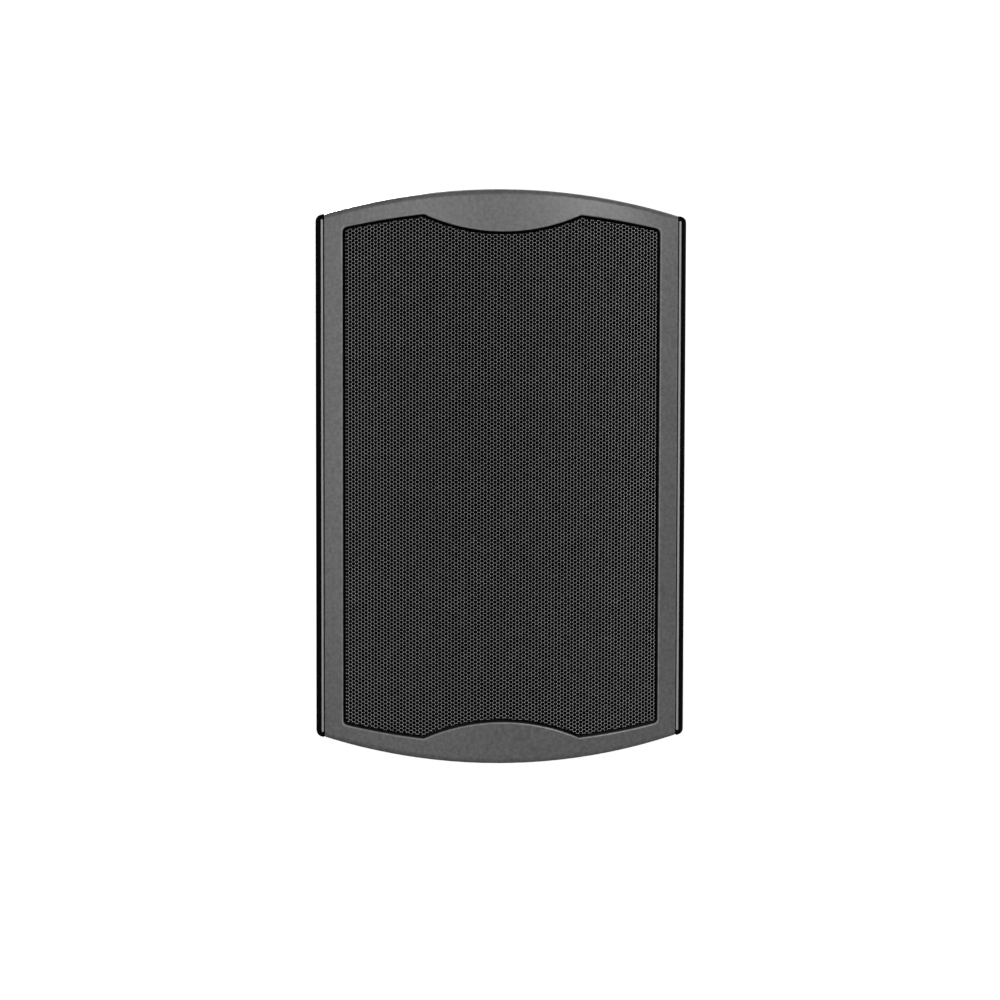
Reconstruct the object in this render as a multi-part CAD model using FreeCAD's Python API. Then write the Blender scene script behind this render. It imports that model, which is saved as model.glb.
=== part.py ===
import FreeCAD, Part
import math
import os

# A two-way wall speaker with a bowed, arched front and a perforated steel grille.
# Millimetres. +Z is up, the front faces -Y, and the rear face lies in the plane y = 0.

V = FreeCAD.Vector

# Drivers, which set the size of the front
woofer_r = 82.5
tweeter_r = 50.0
side_margin = 8.8
end_margin = 5.3
driver_gap = 6.0

# Front outline
bar_width = 10.7
band_height = 24.2
edge_drop = 14.0
bow_radius = 440.0
scallop_width = 89.8
scallop_depth = 9.7
opening_drop = 7.5
opening_corner_r = 3.0
cusp_round = 1.2
edge_round = 3.2
side_edge_round = 0.6
opening_edge_round = 0.7

# Front moulding, measured back from the crown of the bow
depth = 186.0
face_wall = 3.2
floor_recess = 22.0
floor_wall = 4.0
moulding_depth = 32.0
moulding_wall = 3.0
baffle_gasket_thickness = 1.0
baffle_gasket_inset = 1.0

# Rear cabinet
wall = 3.5
groove = 0.6
groove_depth = 3.0
lip_fit = 0.05
lip_setback = 0.3
flank_round = 3.1
rear_width = 124.0
rear_drop = 38.0
corner_round = 4.0
rear_corner_round = 9.0
rear_edge_round = 5.0
loft_steps = 3
ledge = 24.0
ledge_wall = 4.0

# Light trims let into the cabinet's side lips
trim_width = 1.25
trim_depth = 6.0
trim_cover = 2.5
trim_fit = 0.05
trim_edge_round = 0.3

# Grille and its scrim
grille_gap = 1.6
grille_setback = 2.0
grille_sheet = 0.8
grille_hole = 18.0
grille_web = 3.6
grille_border = 1.2
scrim_thickness = 1.0
scrim_gap = 0.1

# Screws: shank radius, head radius, head height
baffle_screw = (1.7, 3.4, 2.2)
driver_screw = (1.7, 3.2, 2.0)
small_screw = (1.2, 2.4, 1.4)
screw_clearance = 0.1
baffle_screw_inset = 6.5
baffle_screw_length = 18.0
driver_screw_length = 14.0
small_screw_length = 6.0
baffle_boss_r = 4.5

# Woofer, with heights counted forward from the baffle floor
flange = 2.5
flange_width = 13.5
basket_wall = 2.5
basket_depth = 46.0
basket_neck_r = 44.0
spider_depth = 26.5
spider_ledge_r = 52.6
window_count = 6
window_width = 34.0
window_margin = 4.0
floor_hole_clearance = 0.5
coil_r = 12.55
coil_wall = 0.5
coil_gap = 0.55
coil_length = 40.0
plate_thickness = 5.0
plate_r = 42.0
magnet_r = 45.0
magnet_bore_r = 20.0
magnet_thickness = 16.0
yoke_thickness = 5.0
cone_rim = 3.0
cone_depth = 20.0
cone_wall = 1.6
roll_half_width = 4.5
surround_wall = 0.9
surround_lip = 7.0
dust_cap_r = 19.0
dust_cap_rise = 7.0
dust_cap_wall = 0.8
spider_wall = 0.8
spider_wave = 2.0
spider_folds = 5
trim_ring_height = 2.5
woofer_screw_count = 4
tag_width = 16.0
tag_height = 9.0
tag_thickness = 2.0
tag_blade = 5.0

# Tweeter, with heights counted forward from the baffle floor
faceplate = 3.0
waveguide_r = 39.0
waveguide_throat_r = 17.5
waveguide_depth = 9.0
waveguide_back = 9.0
faceplate_neck_r = 33.0
tweeter_hole_r = 36.0
tweeter_plate_r = 32.0
tweeter_plate_thickness = 4.0
tweeter_magnet_r = 34.0
tweeter_magnet_bore_r = 18.0
tweeter_magnet_thickness = 12.0
tweeter_yoke_thickness = 5.0
tweeter_coil_length = 7.0
dome_rise = 5.0
dome_wall = 0.5
suspension_width = 8.5
suspension_wall = 0.5
tweeter_screw_count = 4
tweeter_screw_inset = 5.5

# Threaded inserts for the wall bracket
insert_spacing_x = 76.0
insert_spacing_z = 150.0
insert_bore_r = 2.5
insert_r = 4.6
insert_length = 14.0
insert_boss_wall = 3.4
insert_fit = 0.05

# Terminal cup
cup_z = -62.0
cup_width = 44.0
cup_height = 32.0
cup_depth = 20.0
cup_wall = 2.0
cup_flange = 5.7
cup_flange_thickness = 2.5
cup_corner_r = 3.0
cup_gasket = 0.5
cup_clearance = 0.3
cup_pad = 4.0
cup_pad_margin = 3.3
cup_screw_inset = 2.9
pin_r = 1.0
pin_fit = 0.06
pin_drop = 7.0
pin_setback = 7.0
lever_width = 13.0
lever_gap = 6.0
lever_barrel_r = 2.6
lever_length = 15.0
lever_thickness = 2.4
lever_pad = 2.6
lever_pad_height = 5.0
contact_thickness = 0.6
contact_width = 9.0
contact_length = 16.0
contact_tag = 7.0
contact_tag_width = 4.8

# Crossover
board_width = 54.0
board_height = 80.0
board_thickness = 1.6
board_z = 22.0
board_standoff = 8.0
standoff_r = 4.0
board_screw_inset = 5.0
inductor_r = 15.0
inductor_bore_r = 7.0
inductor_height = 14.0
capacitor_r = 6.5
capacitor_length = 24.0
resistor_size = (20.0, 7.0, 8.0)
component_margin = 2.0

# Damping pad on the rear wall
pad_width = 88.0
pad_height = 26.0
pad_thickness = 12.0
pad_gap = 4.0

# Values worked out from the driving dimensions
far = 2.0 * (depth + bow_radius)
on_face = 1e-4
opening_half = woofer_r + side_margin
face_half = opening_half + bar_width
opening_reach = (2 * end_margin + 2 * woofer_r + driver_gap + 2 * tweeter_r) / 2
crown = opening_reach + band_height
woofer_z = -opening_reach + end_margin + woofer_r
tweeter_z = opening_reach - end_margin - tweeter_r
edge_radius = (face_half**2 + edge_drop**2) / (2 * edge_drop)
front_y = -depth
bow_axis_y = front_y + bow_radius
floor_y = front_y + floor_recess
floor_back_y = floor_y + floor_wall
moulding_back_y = front_y + moulding_depth
seam_y = moulding_back_y + baffle_gasket_thickness
ledge_back_y = seam_y + ledge_wall
lip_inner = face_half + groove
trim_outer = lip_inner + trim_width
flank_max = trim_outer + flank_round
rear_half = rear_width / 2


def bow_y(x, inset=0.0):
    # Depth of the bowed front at a distance x from the middle
    return bow_axis_y - math.sqrt((bow_radius - inset) ** 2 - x**2)


lip_y = bow_y(lip_inner) + lip_setback
trim_back_y = lip_y + trim_depth
trim_reach = crown - edge_radius + math.sqrt(edge_radius**2 - trim_outer**2) - trim_cover
flank_y = lip_y + flank_round
flank_inset = flank_max - rear_half
flank_radius = (flank_inset**2 + flank_y**2) / (2 * flank_inset)
flank_centre_x = flank_max - flank_radius
rear_fall_radius = (rear_drop**2 + flank_y**2) / (2 * rear_drop)


# Small tools for drawing and placing


def line(start, end):
    return Part.LineSegment(start, end).toShape()


def arc(start, middle, end):
    return Part.Arc(start, middle, end).toShape()


def prism(edges, y_from, y_to):
    # An outline drawn in the plane y = 0, run from y_from to y_to
    solid = Part.Face(Part.Wire(edges)).extrude(V(0, y_to - y_from, 0))
    solid.translate(V(0, y_from, 0))
    return solid


def block(x, y, z):
    # A box from three (low, high) pairs
    return Part.makeBox(x[1] - x[0], y[1] - y[0], z[1] - z[0], V(x[0], y[0], z[0]))


def rod(radius, x, z, y_from, y_to):
    return Part.makeCylinder(radius, y_to - y_from, V(x, y_from, z), V(0, 1, 0))


def tube(radius, bore, x, z, y_from, y_to):
    return rod(radius, x, z, y_from, y_to).cut(rod(bore, x, z, y_from, y_to))


def turned(edges, z):
    # A section drawn as (radius, 0, height), turned about a driver's axis on the baffle floor
    solid = Part.Face(Part.Wire(edges)).revolve(V(0, 0, 0), V(0, 0, 1), 360)
    solid.Placement = FreeCAD.Placement(V(0, floor_y, z), FreeCAD.Rotation(V(1, 0, 0), 90))
    return solid


def section(*points):
    # Straight edges through (radius, height) points, closed
    corners = [V(r, 0, h) for r, h in points]
    return [line(a, b) for a, b in zip(corners, corners[1:] + corners[:1])]


def ring(outer, inner, low, high, z):
    if inner == 0:
        return rod(outer, 0, z, floor_y - high, floor_y - low)
    return tube(outer, inner, 0, z, floor_y - high, floor_y - low)


def cap_arc(radius, base, rise):
    # The arc of a dome, from its axis out to its rim
    sphere = (radius**2 + rise**2) / (2 * rise)
    half = math.asin(radius / sphere) / 2
    middle = V(sphere * math.sin(half), 0, base + rise - sphere * (1 - math.cos(half)))
    return arc(V(0, 0, base + rise), middle, V(radius, 0, base))


def dome_shell(radius, base, rise, thickness, z):
    outer = cap_arc(radius, base, rise)
    inner = cap_arc(radius - thickness, base, rise - thickness)
    edges = [
        outer,
        line(V(radius, 0, base), V(radius - thickness, 0, base)),
        inner,
        line(V(0, 0, base + rise - thickness), V(0, 0, base + rise)),
    ]
    return turned(Part.__sortEdges__(edges), z)


def ring_of(count, radius, z, first=45.0):
    # Places of screws round a driver
    turns = [math.radians(first + 360.0 / count * i) for i in range(count)]
    return [(radius * math.cos(a), z + radius * math.sin(a)) for a in turns]


def screw(size, length, x, z, head_y, facing):
    # A pan-head screw whose head sits at head_y; facing is -1 for the front, 1 for the rear
    shank_r, head_r, head_h = size
    head = Part.makeCylinder(head_r, head_h, V(x, head_y, z), V(0, facing, 0))
    shank = Part.makeCylinder(shank_r, length, V(x, head_y, z), V(0, -facing, 0))
    return head.fuse(shank).removeSplitter()


def holes(size, places, y_from, y_to):
    return [rod(size[0] + screw_clearance, x, z, y_from, y_to) for x, z in places]


def edges_where(shape, test):
    return [e for e in shape.Edges if test(e.valueAt((e.FirstParameter + e.LastParameter) / 2), e)]


# Outlines of the front


def arched_outline(inset=0.0):
    # Two upright sides joined by a shallow arch above and below
    half = face_half - inset
    radius = edge_radius - inset
    top = crown - inset
    corner = top - radius + math.sqrt(radius**2 - half**2)
    return [
        arc(V(-half, 0, corner), V(0, 0, top), V(half, 0, corner)),
        line(V(half, 0, corner), V(half, 0, -corner)),
        arc(V(half, 0, -corner), V(0, 0, -top), V(-half, 0, -corner)),
        line(V(-half, 0, -corner), V(-half, 0, corner)),
    ]


def round_point(centre, radius, turn):
    # A point on a circle in the front's plane, turned clockwise from straight up
    return V(centre.x + radius * math.sin(turn), 0, centre.z + radius * math.cos(turn))


def flip(point, sx, sz):
    return V(sx * point.x, point.y, sz * point.z)


def arch_corner(half, radius, centre_z, corner_r):
    # Centre of a corner arc that touches an upright side and the inside of an arch
    corner = V(half - corner_r, 0, 0)
    corner.z = centre_z + math.sqrt((radius - corner_r) ** 2 - corner.x**2)
    return corner, math.atan2(corner.x, corner.z - centre_z)


def rounded_arch(half, top, radius, corner_r):
    # An arched outline with round corners
    centre = V(0, 0, top - radius)
    corner, turn = arch_corner(half, radius, centre.z, corner_r)
    touch = round_point(centre, radius, turn)
    middle = round_point(corner, corner_r, (math.pi / 2 + turn) / 2)
    side = V(half, 0, corner.z)
    edges = []
    for sx, sz in ((1, 1), (1, -1), (-1, -1), (-1, 1)):
        edges.append(arc(flip(touch, sx, sz), flip(middle, sx, sz), flip(side, sx, sz)))
    for sx in (1, -1):
        edges.append(line(flip(side, sx, 1), flip(side, sx, -1)))
    for sz in (1, -1):
        edges.append(arc(flip(touch, -1, sz), V(0, 0, sz * top), flip(touch, 1, sz)))
    return Part.__sortEdges__(edges)


def opening_outline(inset=0.0):
    # The grille opening: arched ends with a scallop dipping in at the middle of each
    cusp = scallop_width / 2
    cusp_z = opening_reach + scallop_depth
    side_z = cusp_z - opening_drop
    scallop_r = (cusp**2 + scallop_depth**2) / (2 * scallop_depth)
    scallop_c = opening_reach + scallop_r
    edge_c = (opening_half**2 + side_z**2 - cusp**2 - cusp_z**2) / (2 * (side_z - cusp_z))
    edge_r = math.hypot(cusp, cusp_z - edge_c)

    half = opening_half - inset
    outer_r = edge_r - inset
    dip_r = scallop_r + inset
    corner_r = max(opening_corner_r - inset, opening_corner_r / 2)
    cusp_r = max(cusp_round - inset, cusp_round / 2)

    corner, corner_turn = arch_corner(half, outer_r, edge_c, corner_r)

    # The cusp arc touches the inside of the end arc and the outside of the scallop
    near = outer_r - cusp_r
    clear = dip_r + cusp_r
    cusp_c = V(0, 0, (near**2 - clear**2 - edge_c**2 + scallop_c**2) / (2 * (scallop_c - edge_c)))
    cusp_c.x = math.sqrt(near**2 - (cusp_c.z - edge_c) ** 2)
    cusp_turn = math.atan2(cusp_c.x, cusp_c.z - edge_c)
    dip_turn = math.atan2(cusp_c.x, cusp_c.z - scallop_c)

    end_c = V(0, 0, edge_c)
    dip_c = V(0, 0, scallop_c)
    side = V(half, 0, corner.z)
    corner_touch = round_point(end_c, outer_r, corner_turn)
    cusp_touch = round_point(end_c, outer_r, cusp_turn)
    dip_touch = round_point(dip_c, dip_r, dip_turn)
    corner_mid = round_point(corner, corner_r, (math.pi / 2 + corner_turn) / 2)
    end_mid = round_point(end_c, outer_r, (corner_turn + cusp_turn) / 2)
    cusp_mid = round_point(cusp_c, cusp_r, (cusp_turn + dip_turn - math.pi) / 2)

    edges = []
    for sx, sz in ((1, 1), (-1, 1), (1, -1), (-1, -1)):
        edges += [
            line(V(sx * half, 0, 0), flip(side, sx, sz)),
            arc(flip(side, sx, sz), flip(corner_mid, sx, sz), flip(corner_touch, sx, sz)),
            arc(flip(corner_touch, sx, sz), flip(end_mid, sx, sz), flip(cusp_touch, sx, sz)),
            arc(flip(cusp_touch, sx, sz), flip(cusp_mid, sx, sz), flip(dip_touch, sx, sz)),
        ]
    for sz in (1, -1):
        lowest = V(0, 0, sz * (scallop_c - dip_r))
        edges.append(arc(flip(dip_touch, -1, sz), lowest, flip(dip_touch, 1, sz)))
    return Part.__sortEdges__(edges)


def bow_solid(inset=0.0):
    # Everything behind the bowed front surface, sunk by inset
    return Part.makeCylinder(bow_radius - inset, 2 * far, V(0, bow_axis_y, -far), V(0, 0, 1))


# Screw places shared by the pieces that they pass through


def baffle_screw_places():
    x = opening_half - baffle_screw_inset
    low = -opening_reach + baffle_screw_inset
    middle = (woofer_z + woofer_r + tweeter_z - tweeter_r) / 2
    return [(side * x, z) for side in (-1, 1) for z in (low, middle, -low)]


woofer_screw_r = woofer_r - (flange_width - surround_lip) / 2
woofer_screw_places = ring_of(woofer_screw_count, woofer_screw_r, woofer_z)
tweeter_screw_places = ring_of(tweeter_screw_count, tweeter_r - tweeter_screw_inset, tweeter_z)
insert_places = [
    (sx * insert_spacing_x / 2, sz * insert_spacing_z / 2) for sx in (-1, 1) for sz in (-1, 1)
]
board_screw_places = [
    (sx * (board_width / 2 - board_screw_inset), board_z + sz * (board_height / 2 - board_screw_inset))
    for sx in (-1, 1)
    for sz in (-1, 1)
]
cup_screw_places = [
    (
        sx * (cup_width / 2 + cup_flange - cup_screw_inset),
        cup_z + sz * (cup_height / 2 + cup_flange - cup_screw_inset),
    )
    for sx in (-1, 1)
    for sz in (-1, 1)
]


# Front moulding: bowed frame, recessed floor for the drivers, hollow bars behind


def front_baffle():
    blank = prism(arched_outline(), -far, moulding_back_y).common(bow_solid())
    arches = edges_where(
        blank,
        lambda p, e: abs(p.y - bow_y(p.x)) < on_face and abs(p.x) < face_half / 2,
    )
    blank = blank.makeFillet(edge_round, arches)
    sides = edges_where(
        blank,
        lambda p, e: abs(p.x) > face_half - on_face and p.y < floor_y and e.Length > crown,
    )
    blank = blank.makeFillet(side_edge_round, sides)

    blank = blank.cut(prism(opening_outline(), -far, floor_y))
    rim = edges_where(
        blank,
        lambda p, e: abs(p.y - bow_y(p.x)) < on_face and abs(p.x) < opening_half + on_face
        and abs(p.z) < crown - band_height / 3,
    )
    blank = blank.makeFillet(opening_edge_round, rim)

    channel = prism(arched_outline(moulding_wall), -far, moulding_back_y)
    channel = channel.cut(prism(opening_outline(-moulding_wall), -far, moulding_back_y))
    channel = channel.common(bow_solid(face_wall))
    pocket = prism(arched_outline(moulding_wall), floor_back_y, moulding_back_y)
    baffle = blank.cut(channel).cut(pocket)

    bosses = [rod(baffle_boss_r, x, z, floor_back_y, moulding_back_y) for x, z in baffle_screw_places()]
    baffle = baffle.fuse(bosses)
    cuts = holes(baffle_screw, baffle_screw_places(), floor_y, moulding_back_y)
    cuts += holes(driver_screw, woofer_screw_places + tweeter_screw_places, floor_y, floor_back_y)
    basket_r = woofer_r - flange_width + basket_wall
    cuts.append(rod(basket_r + floor_hole_clearance, 0, woofer_z, floor_y, floor_back_y))
    cuts.append(rod(tweeter_hole_r, 0, tweeter_z, floor_y, floor_back_y))
    return baffle.cut(cuts).removeSplitter()


def ledge_opening(y_from, y_to):
    return prism(arched_outline(ledge), y_from, y_to)


def baffle_gasket():
    sheet = prism(arched_outline(baffle_gasket_inset), moulding_back_y, seam_y)
    sheet = sheet.cut(ledge_opening(moulding_back_y, seam_y))
    return sheet.cut(holes(baffle_screw, baffle_screw_places(), moulding_back_y, seam_y))


# Rear cabinet: lips beside the front, and flanks that close in towards the wall


def flank_x(y):
    # Half width of the cabinet at a depth behind its widest point
    return flank_centre_x + math.sqrt(flank_radius**2 - (y - flank_y) ** 2)


def lip_plan():
    # Plan of the side lips: flat beside the trims, then rounded over into the flanks
    bend = flank_round * (1 - math.sqrt(0.5))
    front = V(trim_outer, lip_y, 0)
    middle = V(flank_max - bend, lip_y + bend, 0)
    widest = V(flank_max, flank_y, 0)
    edges = [arc(flip(front, side, 1), flip(middle, side, 1), flip(widest, side, 1)) for side in (-1, 1)]
    edges.append(line(flip(front, -1, 1), front))
    edges.append(line(flip(widest, -1, 1), widest))
    solid = Part.Face(Part.Wire(Part.__sortEdges__(edges))).extrude(V(0, 0, 2 * far))
    solid.translate(V(0, 0, -far))
    return solid


def trim_bar(gap, y_from):
    # The right-hand trim with its round ends, or with a gap the rebate it sits in
    radius = trim_width / 2 + gap
    middle_x = lip_inner + trim_width / 2
    straight = trim_reach - trim_width / 2
    edges = []
    for sz in (-1, 1):
        low_x = V(middle_x - radius, 0, sz * straight)
        high_x = V(middle_x + radius, 0, sz * straight)
        edges.append(arc(low_x, V(middle_x, 0, sz * (straight + radius)), high_x))
    for side in (-1, 1):
        end = V(middle_x + side * radius, 0, straight)
        edges.append(line(end, flip(end, 1, -1)))
    return prism(Part.__sortEdges__(edges), y_from, trim_back_y)


def both_sides(solid):
    return [solid, solid.mirror(V(0, 0, 0), V(1, 0, 0))]


def side_trims():
    bar = trim_bar(0.0, lip_y)
    bar = bar.makeFillet(trim_edge_round, edges_where(bar, lambda p, e: abs(p.y - lip_y) < on_face))
    return Part.makeCompound(both_sides(bar))


def cabinet_form(inset, y_from, y_to):
    # Flanks that close in and arched ends that fall towards the rear, as a loft of outlines
    wires = []
    for i in range(loft_steps + 1):
        y = y_from + (y_to - y_from) * i / loft_steps
        fall = rear_fall_radius - math.sqrt(rear_fall_radius**2 - (y - flank_y) ** 2)
        share = 1 - y / flank_y
        corner_r = corner_round + share * (rear_corner_round - corner_round)
        corner_r = max(corner_r - inset, corner_round / 4)
        wire = Part.Wire(
            rounded_arch(flank_x(y) - inset, crown - fall - inset, edge_radius - inset, corner_r)
        )
        wire.translate(V(0, y, 0))
        wires.append(wire)
    return Part.makeLoft(wires, True, False)


def rear_cabinet():
    lips = prism(rounded_arch(flank_max, crown, edge_radius, corner_round), -far, flank_y)
    body = cabinet_form(0.0, flank_y, 0.0).fuse(lips.common(lip_plan()))
    rear_edges = edges_where(body, lambda p, e: abs(p.y) < on_face)
    body = body.makeFillet(rear_edge_round, rear_edges)

    cavity = cabinet_form(wall, ledge_back_y, -wall)
    seat_half = face_half + lip_fit
    between_lips = block((-lip_inner, lip_inner), (-far, lip_y + groove_depth), (-far, far))
    between_lips = between_lips.fuse(block((-seat_half, seat_half), (-far, seam_y), (-far, far)))
    body = body.cut(cavity).cut(between_lips).cut(ledge_opening(-far, ledge_back_y))
    body = body.cut(both_sides(trim_bar(trim_fit, -far)))

    inside = -wall
    boss_r = insert_r + insert_boss_wall
    posts = [rod(boss_r, x, z, inside - insert_length, inside) for x, z in insert_places]
    posts += [rod(standoff_r, x, z, inside - board_standoff, inside) for x, z in board_screw_places]
    half_x = cup_width / 2 + cup_flange + cup_pad_margin
    half_z = cup_height / 2 + cup_flange + cup_pad_margin
    posts.append(block((-half_x, half_x), (inside - cup_pad, inside), (cup_z - half_z, cup_z + half_z)))
    body = body.fuse(posts)

    cuts = [rod(insert_r + insert_fit, x, z, -insert_length, 0) for x, z in insert_places]
    cuts += holes(small_screw, board_screw_places, inside - board_standoff, inside)
    cuts += holes(small_screw, cup_screw_places, inside - cup_pad, 0)
    cuts += holes(baffle_screw, baffle_screw_places(), seam_y, ledge_back_y)
    rebate = cup_flange_thickness + cup_gasket
    cuts.append(cup_block(cup_flange + cup_clearance, -rebate, 0))
    cuts.append(cup_block(cup_clearance, inside - cup_pad, 0))
    return body.cut(cuts).removeSplitter()


# Grille: bowed sheet with a folded rim standing on the baffle floor, and a scrim behind it


def honeycomb_places():
    # Centres of the openings, in upright columns with every other column half a step down
    pitch = grille_hole + grille_web
    column = pitch * math.sqrt(3) / 2
    columns = int(opening_half / column) + 1
    rows = int(crown / pitch) + 1
    for i in range(-columns, columns + 1):
        shift = pitch / 2 if i % 2 else 0.0
        for j in range(-rows, rows + 1):
            yield i * column, j * pitch + shift


def hexagon(x, z):
    reach = grille_hole / math.sqrt(3)
    turns = [math.radians(60 * i) for i in range(6)]
    corners = [V(x + reach * math.cos(a), 0, z + reach * math.sin(a)) for a in turns]
    return [line(a, b) for a, b in zip(corners, corners[1:] + corners[:1])]


def grille():
    sheet = prism(opening_outline(grille_gap), -far, floor_y).common(bow_solid(grille_setback))
    inner = prism(opening_outline(grille_gap + grille_sheet), -far, floor_y)
    inner = inner.common(bow_solid(grille_setback + grille_sheet))
    sheet = sheet.cut(inner)
    bounds = Part.Face(Part.Wire(opening_outline(grille_gap + grille_sheet + grille_border)))
    cuts = []
    for x, z in honeycomb_places():
        cell = Part.Face(Part.Wire(hexagon(x, z)))
        if all(bounds.isInside(v.Point, on_face, True) for v in cell.Vertexes):
            cuts.append(prism(hexagon(x, z), -far, floor_y))
    return sheet.cut(cuts)


def grille_scrim():
    sunk = grille_setback + grille_sheet + scrim_gap
    outline = opening_outline(grille_gap + grille_sheet + scrim_gap)
    scrim = prism(outline, -far, floor_y).common(bow_solid(sunk))
    return scrim.cut(bow_solid(sunk + scrim_thickness))


# Woofer


coil_outer = coil_r + coil_wall
flange_inner = woofer_r - flange_width
cone_r = flange_inner - 2 * roll_half_width
cone_neck = flange - cone_depth
plate_low = -basket_depth - plate_thickness
magnet_low = plate_low - magnet_thickness


def woofer_basket():
    outer_mouth = flange_inner + basket_wall
    back = -basket_depth
    ledge_h = -spider_depth
    basket = turned(
        section(
            (woofer_r, 0),
            (outer_mouth, 0),
            (spider_ledge_r + basket_wall, ledge_h - basket_wall),
            (basket_neck_r, ledge_h - basket_wall),
            (basket_neck_r, back),
            (magnet_bore_r, back),
            (magnet_bore_r, back + basket_wall),
            (basket_neck_r - basket_wall, back + basket_wall),
            (basket_neck_r - basket_wall, ledge_h),
            (spider_ledge_r, ledge_h),
            (flange_inner, flange),
            (woofer_r, flange),
        ),
        woofer_z,
    )
    window = block(
        (spider_ledge_r - basket_wall, woofer_r),
        (floor_back_y + window_margin / 2, floor_y + spider_depth - window_margin),
        (-window_width / 2, window_width / 2),
    )
    cuts = []
    for i in range(window_count):
        cut = window.copy()
        cut.rotate(V(0, 0, 0), V(0, 1, 0), 360.0 / window_count * i)
        cut.translate(V(0, 0, woofer_z))
        cuts.append(cut)
    cuts += holes(driver_screw, woofer_screw_places, floor_y - flange, floor_y)
    return basket.cut(cuts)


def woofer_trim_ring():
    trim = ring(woofer_r, flange_inner + surround_lip, flange, flange + trim_ring_height, woofer_z)
    top = floor_y - flange - trim_ring_height
    return trim.cut(holes(driver_screw, woofer_screw_places, top, floor_y - flange))


def woofer_surround():
    # Half-roll between the cone's rim and the basket's flange
    low = flange
    high = flange + surround_wall
    middle = cone_r + roll_half_width
    small = roll_half_width - surround_wall / 2
    large = roll_half_width + surround_wall / 2
    inner_end = cone_r - cone_rim
    outer_end = flange_inner + surround_lip
    edges = [
        line(V(inner_end, 0, low), V(inner_end, 0, high)),
        line(V(inner_end, 0, high), V(middle - large, 0, high)),
        arc(V(middle - large, 0, high), V(middle, 0, high + large), V(middle + large, 0, high)),
        line(V(middle + large, 0, high), V(outer_end, 0, high)),
        line(V(outer_end, 0, high), V(outer_end, 0, low)),
        line(V(outer_end, 0, low), V(middle + small, 0, low)),
        arc(V(middle + small, 0, low), V(middle, 0, low + small), V(middle - small, 0, low)),
        line(V(middle - small, 0, low), V(inner_end, 0, low)),
    ]
    return turned(edges, woofer_z)


def woofer_cone():
    rim = cone_r - cone_rim
    return turned(
        section(
            (coil_outer, cone_neck),
            (rim, flange),
            (cone_r, flange),
            (cone_r, flange - cone_wall),
            (rim, flange - cone_wall),
            (coil_outer, cone_neck - cone_wall),
        ),
        woofer_z,
    )


def cone_front(radius):
    rim = cone_r - cone_rim
    return cone_neck + cone_depth * (radius - coil_outer) / (rim - coil_outer)


def woofer_dust_cap():
    return dome_shell(dust_cap_r, cone_front(dust_cap_r), dust_cap_rise, dust_cap_wall, woofer_z)


def woofer_voice_coil():
    return ring(coil_outer, coil_r, cone_neck - coil_length, cone_neck, woofer_z)


def woofer_spider():
    # Waved disc from the voice coil to the basket's ledge
    seat = basket_neck_r - basket_wall
    inner = coil_outer
    outer = spider_ledge_r - coil_gap
    low = -spider_depth
    radii = [inner + (seat - inner) * i / spider_folds for i in range(spider_folds + 1)]
    heights = [low + (spider_wave if i % 2 else 0.0) for i in range(spider_folds)] + [low]
    under = list(zip(radii, heights)) + [(outer, low)]
    over = [(r, h + spider_wall) for r, h in reversed(under)]
    return turned(section(*(under + over)), woofer_z)


def woofer_top_plate():
    return ring(plate_r, coil_outer + coil_gap, plate_low, -basket_depth, woofer_z)


def woofer_magnet():
    return ring(magnet_r, magnet_bore_r, magnet_low, plate_low, woofer_z)


def woofer_yoke():
    disc = ring(plate_r, 0, magnet_low - yoke_thickness, magnet_low, woofer_z)
    pole = ring(coil_r - coil_gap, 0, magnet_low, -basket_depth, woofer_z)
    return disc.fuse(pole).removeSplitter()


def woofer_terminals():
    # Strip on the side of the basket's neck, with two blades
    z = woofer_z + basket_neck_r
    y = floor_y + (basket_depth + spider_depth + basket_wall) / 2
    strip = block(
        (-tag_width / 2, tag_width / 2),
        (y - tag_height / 2, y + tag_height / 2),
        (z - tag_thickness, z + tag_thickness),
    )
    strip = strip.cut(ring(basket_neck_r, 0, -basket_depth, -spider_depth, woofer_z))
    blades = [
        block(
            (s * tag_width / 4 - tag_thickness / 2, s * tag_width / 4 + tag_thickness / 2),
            (y - tag_height / 4, y + tag_height / 4),
            (z + tag_thickness, z + tag_thickness + tag_blade),
        )
        for s in (-1, 1)
    ]
    return strip.fuse(blades)


# Tweeter


suspension_low = -waveguide_back
tweeter_plate_low = suspension_low - tweeter_plate_thickness
tweeter_magnet_low = tweeter_plate_low - tweeter_magnet_thickness
suspension_r = coil_outer + suspension_width


def tweeter_waveguide():
    # Round plate whose flare runs down to the dome
    throat = faceplate - waveguide_depth
    seat = suspension_low + suspension_wall
    flare_mid = V(
        (waveguide_r + 2 * waveguide_throat_r) / 3, 0, (faceplate + 2 * throat) / 3 + waveguide_depth / 9
    )
    corners = [
        V(waveguide_throat_r, 0, throat),
        V(waveguide_throat_r, 0, seat),
        V(suspension_r, 0, seat),
        V(suspension_r, 0, suspension_low),
        V(faceplate_neck_r, 0, suspension_low),
        V(faceplate_neck_r, 0, 0),
        V(tweeter_r, 0, 0),
        V(tweeter_r, 0, faceplate),
        V(waveguide_r, 0, faceplate),
    ]
    edges = [line(a, b) for a, b in zip(corners, corners[1:])]
    edges.append(arc(corners[-1], flare_mid, corners[0]))
    plate = turned(edges, tweeter_z)
    return plate.cut(holes(driver_screw, tweeter_screw_places, floor_y - faceplate, floor_y))


def tweeter_dome():
    return dome_shell(coil_outer, suspension_low + suspension_wall, dome_rise, dome_wall, tweeter_z)


def tweeter_voice_coil():
    top = suspension_low + suspension_wall
    return ring(coil_outer, coil_r, top - tweeter_coil_length, top, tweeter_z)


def tweeter_suspension():
    return ring(suspension_r, coil_outer, suspension_low, suspension_low + suspension_wall, tweeter_z)


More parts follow.
